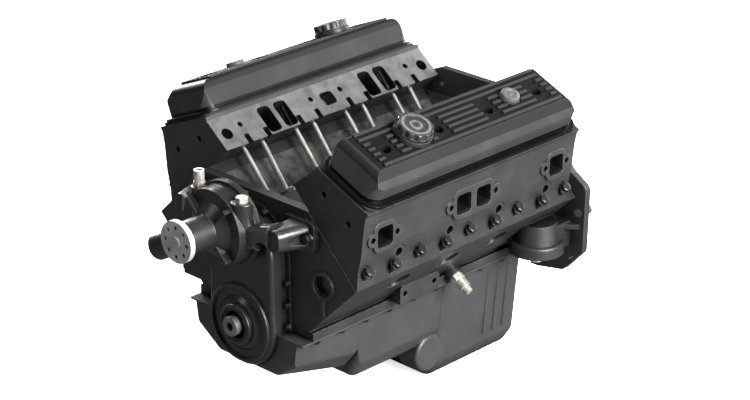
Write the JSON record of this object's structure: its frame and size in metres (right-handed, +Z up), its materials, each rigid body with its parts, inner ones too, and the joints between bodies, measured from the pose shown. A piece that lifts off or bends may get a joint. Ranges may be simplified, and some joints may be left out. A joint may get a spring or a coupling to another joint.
{
  "type": "v8 engine long block",
  "caption": "V engine long block with cylinder heads, ribbed valve covers, front water pump, timing cover and oil pan, built round its crank, cam and valve trains.",
  "frame": {"origin": "on the crank axis at the block's rear face, where a bellhousing bolts on", "axes": "+X to the engine's left bank, +Y along the crank to the rear, +Z up"},
  "size_m": [0.484, 0.694, 0.5367],
  "materials": {
    "black_block": "satin black paint on a rough casting",
    "black_head": "satin black paint on a rough casting",
    "black_sheet": "satin black paint on pressed sheet",
    "black_cover": "black moulded cover",
    "black_pump": "satin black paint on a rough casting",
    "raw_steel": "turned and ground steel",
    "dark_steel": "dark heat-treated steel",
    "zinc": "zinc plated",
    "cast_crank": "as cast with ground journals",
    "piston_alloy": "machined alloy",
    "bearing_metal": "plain grey bearing metal",
    "brass_plug": "pressed brass",
    "gasket_paper": "dark gasket",
    "gasket_steel": "coated steel sheet",
    "seal_rubber": "black rubber",
    "cap_plastic": "black moulded plastic"
  },
  "bodies": {
    "engine": {"bellhousing_dowels": "raw_steel", "breather_plugs": "cap_plastic", "connecting_rods": "dark_steel", "core_plugs": "brass_plug", "cylinder_block": "black_block", "cylinder_head_left": "black_head", "cylinder_head_right": "black_head", "exhaust_valves": "raw_steel", "front_crank_seal": "seal_rubber", "fuel_pump_cover": "dark_steel", "head_bolts": "dark_steel", "head_gaskets": "gasket_steel", "intake_valves": "raw_steel", "knock_sensor": "zinc", "lifters": "raw_steel", "main_bearing_caps": "cast_crank", "main_bearing_shells": "bearing_metal", "main_cap_bolts": "dark_steel", "oil_drain_plug": "zinc", "oil_filter_adapter": "zinc", "oil_pan": "black_sheet", "oil_pan_bolts": "dark_steel", "oil_pan_gasket": "gasket_paper", "oil_pickup": "raw_steel", "oil_pump_body": "cast_crank", "piston_rings": "dark_steel", "pistons": "piston_alloy", "pushrods": "raw_steel", "rear_crank_seal": "seal_rubber", "rear_seal_housing": "black_pump", "rocker_arms": "raw_steel", "rocker_nuts": "zinc", "rocker_studs": "dark_steel", "rod_bolts": "dark_steel", "rod_caps": "dark_steel", "spring_retainers": "raw_steel", "timing_chain": "dark_steel", "timing_cover": "black_sheet", "timing_cover_bolts": "dark_steel", "valve_cover_bolts": "dark_steel", "valve_cover_gaskets": "gasket_paper", "valve_cover_left": "black_cover", "valve_cover_right": "black_cover", "valve_springs": "dark_steel", "water_pump_backplate": "black_sheet", "water_pump_bearing": "bearing_metal", "water_pump_bolts": "dark_steel", "water_pump_fittings": "zinc", "water_pump_housing": "black_pump", "wrist_pins": "raw_steel"},
    "crank": {"crankshaft": "cast_crank", "crank_sprocket": "dark_steel"},
    "cam": {"camshaft": "raw_steel", "cam_sprocket": "dark_steel"},
    "fan_hub": {"water_pump_hub": "raw_steel", "water_pump_rotor": "raw_steel"},
    "oil_drive": {"oil_pump_drive_gear": "raw_steel"},
    "oil_idler": {"oil_pump_idler_gear": "raw_steel"},
    "filler_cap_left": {"oil_filler_cap_left": "cap_plastic"},
    "filler_cap_right": {"oil_filler_cap_right": "cap_plastic"}
  },
  "joints": [
    {"name": "crank_spin", "type": "hinge", "parent": "engine", "child": "crank", "pos_m": [0, -0.25, 0], "axis": [0, 1, 0], "continuous": true, "deforming": ["connecting_rods", "rod_caps", "rod_bolts", "pistons", "piston_rings", "wrist_pins", "timing_chain"]},
    {"name": "cam_spin", "type": "hinge", "parent": "engine", "child": "cam", "pos_m": [0, -0.25, 0.1148], "axis": [0, 1, 0], "continuous": true, "deforming": ["lifters", "pushrods", "rocker_arms", "intake_valves", "exhaust_valves", "valve_springs", "spring_retainers"]},
    {"name": "fan_hub_spin", "type": "hinge", "parent": "engine", "child": "fan_hub", "pos_m": [0, -0.66, 0.173], "axis": [0, 1, 0], "continuous": true},
    {"name": "oil_drive_spin", "type": "hinge", "parent": "engine", "child": "oil_drive", "pos_m": [0.072, -0.029, -0.062], "axis": [-0.2415, 0, 0.9704], "continuous": true},
    {"name": "oil_idler_spin", "type": "hinge", "parent": "engine", "child": "oil_idler", "pos_m": [0.05065, -0.029, -0.06731], "axis": [-0.2415, 0, 0.9704], "continuous": true},
    {"name": "filler_cap_turn_left", "type": "hinge", "parent": "engine", "child": "filler_cap_left", "pos_m": [0.20203, -0.38136, 0.32338], "axis": [0.3907, 0, 0.9205], "range_deg": [0, 90]},
    {"name": "filler_cap_turn_right", "type": "hinge", "parent": "engine", "child": "filler_cap_right", "pos_m": [-0.20203, -0.14496, 0.32338], "axis": [-0.3907, 0, 0.9205], "range_deg": [0, 90]}
  ],
  "couplings": [
    {"joint": "cam_spin", "follows": "crank_spin", "ratio": 0.5},
    {"joint": "oil_idler_spin", "follows": "oil_drive_spin", "ratio": -1}
  ]
}
